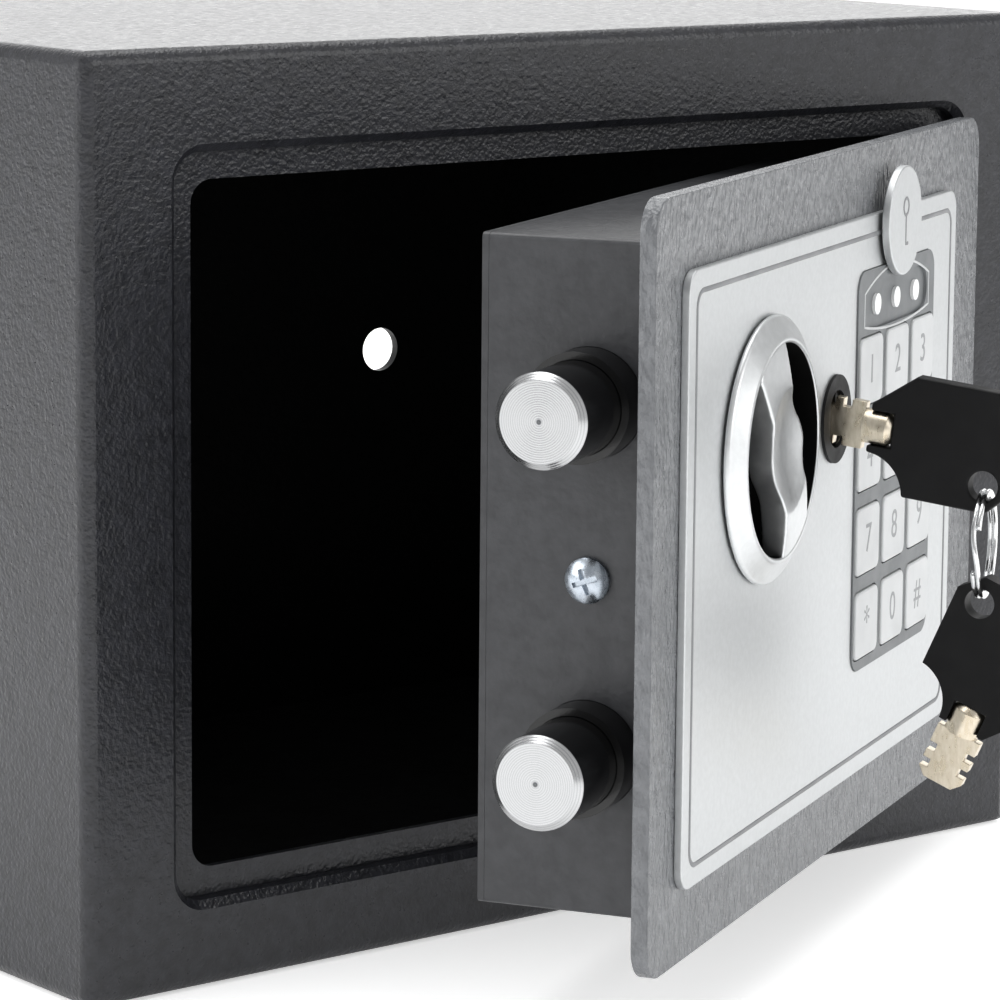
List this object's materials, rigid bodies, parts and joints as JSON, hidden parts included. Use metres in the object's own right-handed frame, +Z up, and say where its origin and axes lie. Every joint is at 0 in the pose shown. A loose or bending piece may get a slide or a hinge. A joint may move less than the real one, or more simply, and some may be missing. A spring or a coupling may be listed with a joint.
{
  "type": "safe deposit box",
  "caption": "Small electronic home safe with a hinged door, two live bolts, a turning knob, a keypad and an override lock with its keys.",
  "frame": {"origin": "middle of the flat underside", "axes": "+Z up, the door faces -Y, +X towards the hinge side"},
  "size_m": [0.23, 0.2644, 0.17],
  "materials": {
    "body_paint": "anthracite powder coat with a fine leathery texture, semi-gloss",
    "door_paint": "grey powder coat with a fine leathery texture",
    "pan_paint": "dark grey powder coat, smoother",
    "mat": "black felt mat",
    "panel_aluminium": "satin silver face",
    "keypad_grey": "grey moulded plastic",
    "button_silver": "silver painted plastic",
    "light_lens": "clear white lens",
    "satin_chrome": "satin chrome",
    "bolt_steel": "turned and polished steel",
    "zinc_steel": "zinc plated steel",
    "black_plastic": "black moulded plastic",
    "key_nickel": "nickel plated brass",
    "board": "green circuit board",
    "coil_copper": "wound copper wire",
    "cell_wrap": "plain grey battery wrap",
    "red_plastic": "red plastic"
  },
  "bodies": {
    "root": {"body_shell": "body_paint", "rear_panel": "body_paint", "floor_mat": "mat", "hinge_bracket_upper": "body_paint", "hinge_bracket_lower": "body_paint", "hinge_pins": "zinc_steel"},
    "door": {"door_plate": "door_paint", "door_pan": "pan_paint", "inner_cover": "pan_paint", "cover_screws": "zinc_steel", "hinge_arm_upper": "pan_paint", "hinge_arm_lower": "pan_paint", "control_panel": "panel_aluminium", "keypad_bezel": "keypad_grey", "indicator_lights": "light_lens", "circuit_board": "board", "lock_bezel": "black_plastic", "lock_cylinder": "key_nickel", "lock_nut": "zinc_steel", "knob_bush": "black_plastic", "bolt_guide_upper": "black_plastic", "bolt_guide_lower": "black_plastic", "pan_screw": "zinc_steel", "battery_tray": "black_plastic", "battery_cells": "cell_wrap", "solenoid_frame": "zinc_steel", "solenoid_coil": "coil_copper", "reset_switch": "black_plastic"},
    "knob": {"knob_base": "black_plastic", "knob_rim": "satin_chrome", "knob_grip": "satin_chrome", "knob_shaft": "zinc_steel", "crank": "zinc_steel"},
    "bolts": {"bolt_carriage": "zinc_steel", "locking_bolt_upper": "bolt_steel", "locking_bolt_lower": "bolt_steel"},
    "lock_plug": {"lock_plug": "key_nickel", "lock_cam": "zinc_steel"},
    "key": {"key_blade": "key_nickel", "key_handle": "black_plastic"},
    "key_ring": {"key_ring": "satin_chrome"},
    "spare_key": {"spare_key_blade": "key_nickel", "spare_key_handle": "black_plastic"},
    "keyhole_cap": {"keyhole_cap": "panel_aluminium"},
    "plunger": {"solenoid_plunger": "zinc_steel"},
    "reset_button": {"reset_button": "red_plastic"},
    "battery_cover": {"battery_cover": "black_plastic"},
    "button_1": {"button_1": "button_silver"},
    "button_2": {"button_2": "button_silver"},
    "button_3": {"button_3": "button_silver"},
    "button_4": {"button_4": "button_silver"},
    "button_5": {"button_5": "button_silver"},
    "button_6": {"button_6": "button_silver"},
    "button_7": {"button_7": "button_silver"},
    "button_8": {"button_8": "button_silver"},
    "button_9": {"button_9": "button_silver"},
    "button_left": {"button_left": "button_silver"},
    "button_0": {"button_0": "button_silver"},
    "button_right": {"button_right": "button_silver"}
  },
  "joints": [
    {"name": "door_swing", "type": "hinge", "parent": "root", "child": "door", "pos_m": [0.103, -0.079, 0.08375], "axis": [0, 0, 1], "range_deg": [-29, 61]},
    {"name": "knob_turn", "type": "hinge", "parent": "door", "child": "knob", "pos_m": [-0.0196, -0.15382, 0.1012], "axis": [-0.4848, 0.8746, 0], "range_deg": [-80, 0]},
    {"name": "bolt_slide", "type": "slide", "parent": "door", "child": "bolts", "axis": [-0.8746, -0.4848, 0], "range_m": [-0.0154, 0]},
    {"name": "lock_turn", "type": "hinge", "parent": "door", "child": "lock_plug", "pos_m": [0.01451, -0.13491, 0.1012], "axis": [0.4848, -0.8746, 0], "range_deg": [-90, 0]},
    {"name": "key_draw", "type": "slide", "parent": "lock_plug", "child": "key", "axis": [0.4848, -0.8746, 0], "range_m": [0, 0.03]},
    {"name": "ring_swing", "type": "hinge", "parent": "key", "child": "key_ring", "pos_m": [0.02928, -0.16155, 0.08939], "axis": [0.8746, 0.4848, 0], "range_deg": [-6, 6]},
    {"name": "spare_key_swing", "type": "hinge", "parent": "key_ring", "child": "spare_key", "pos_m": [0.02928, -0.16155, 0.06929], "axis": [0.8746, 0.4848, 0], "range_deg": [-10, 10]},
    {"name": "cap_pull", "type": "slide", "parent": "door", "child": "keyhole_cap", "axis": [0.4848, -0.8746, 0], "range_m": [0, 0.02]},
    {"name": "plunger_lift", "type": "slide", "parent": "door", "child": "plunger", "axis": [0, 0, 1], "range_m": [0, 0.006], "stiffness_N_per_m": 20},
    {"name": "reset_press", "type": "slide", "parent": "door", "child": "reset_button", "axis": [0.4848, -0.8746, 0], "range_m": [0, 0.0008], "stiffness_N_per_m": 200},
    {"name": "battery_cover_slide", "type": "slide", "parent": "door", "child": "battery_cover", "axis": [0, 0, -1], "range_m": [0, 0.04]},
    {"name": "button_1_press", "type": "slide", "parent": "door", "child": "button_1", "axis": [-0.4848, 0.8746, 0], "range_m": [0, 0.0006], "stiffness_N_per_m": 200},
    {"name": "button_2_press", "type": "slide", "parent": "door", "child": "button_2", "axis": [-0.4848, 0.8746, 0], "range_m": [0, 0.0006], "stiffness_N_per_m": 200},
    {"name": "button_3_press", "type": "slide", "parent": "door", "child": "button_3", "axis": [-0.4848, 0.8746, 0], "range_m": [0, 0.0006], "stiffness_N_per_m": 200},
    {"name": "button_4_press", "type": "slide", "parent": "door", "child": "button_4", "axis": [-0.4848, 0.8746, 0], "range_m": [0, 0.0006], "stiffness_N_per_m": 200},
    {"name": "button_5_press", "type": "slide", "parent": "door", "child": "button_5", "axis": [-0.4848, 0.8746, 0], "range_m": [0, 0.0006], "stiffness_N_per_m": 200},
    {"name": "button_6_press", "type": "slide", "parent": "door", "child": "button_6", "axis": [-0.4848, 0.8746, 0], "range_m": [0, 0.0006], "stiffness_N_per_m": 200},
    {"name": "button_7_press", "type": "slide", "parent": "door", "child": "button_7", "axis": [-0.4848, 0.8746, 0], "range_m": [0, 0.0006], "stiffness_N_per_m": 200},
    {"name": "button_8_press", "type": "slide", "parent": "door", "child": "button_8", "axis": [-0.4848, 0.8746, 0], "range_m": [0, 0.0006], "stiffness_N_per_m": 200},
    {"name": "button_9_press", "type": "slide", "parent": "door", "child": "button_9", "axis": [-0.4848, 0.8746, 0], "range_m": [0, 0.0006], "stiffness_N_per_m": 200},
    {"name": "button_left_press", "type": "slide", "parent": "door", "child": "button_left", "axis": [-0.4848, 0.8746, 0], "range_m": [0, 0.0006], "stiffness_N_per_m": 200},
    {"name": "button_0_press", "type": "slide", "parent": "door", "child": "button_0", "axis": [-0.4848, 0.8746, 0], "range_m": [0, 0.0006], "stiffness_N_per_m": 200},
    {"name": "button_right_press", "type": "slide", "parent": "door", "child": "button_right", "axis": [-0.4848, 0.8746, 0], "range_m": [0, 0.0006], "stiffness_N_per_m": 200}
  ],
  "couplings": [
    {"joint": "bolt_slide", "follows": "knob_turn", "m_per_rad": 0.011029}
  ]
}
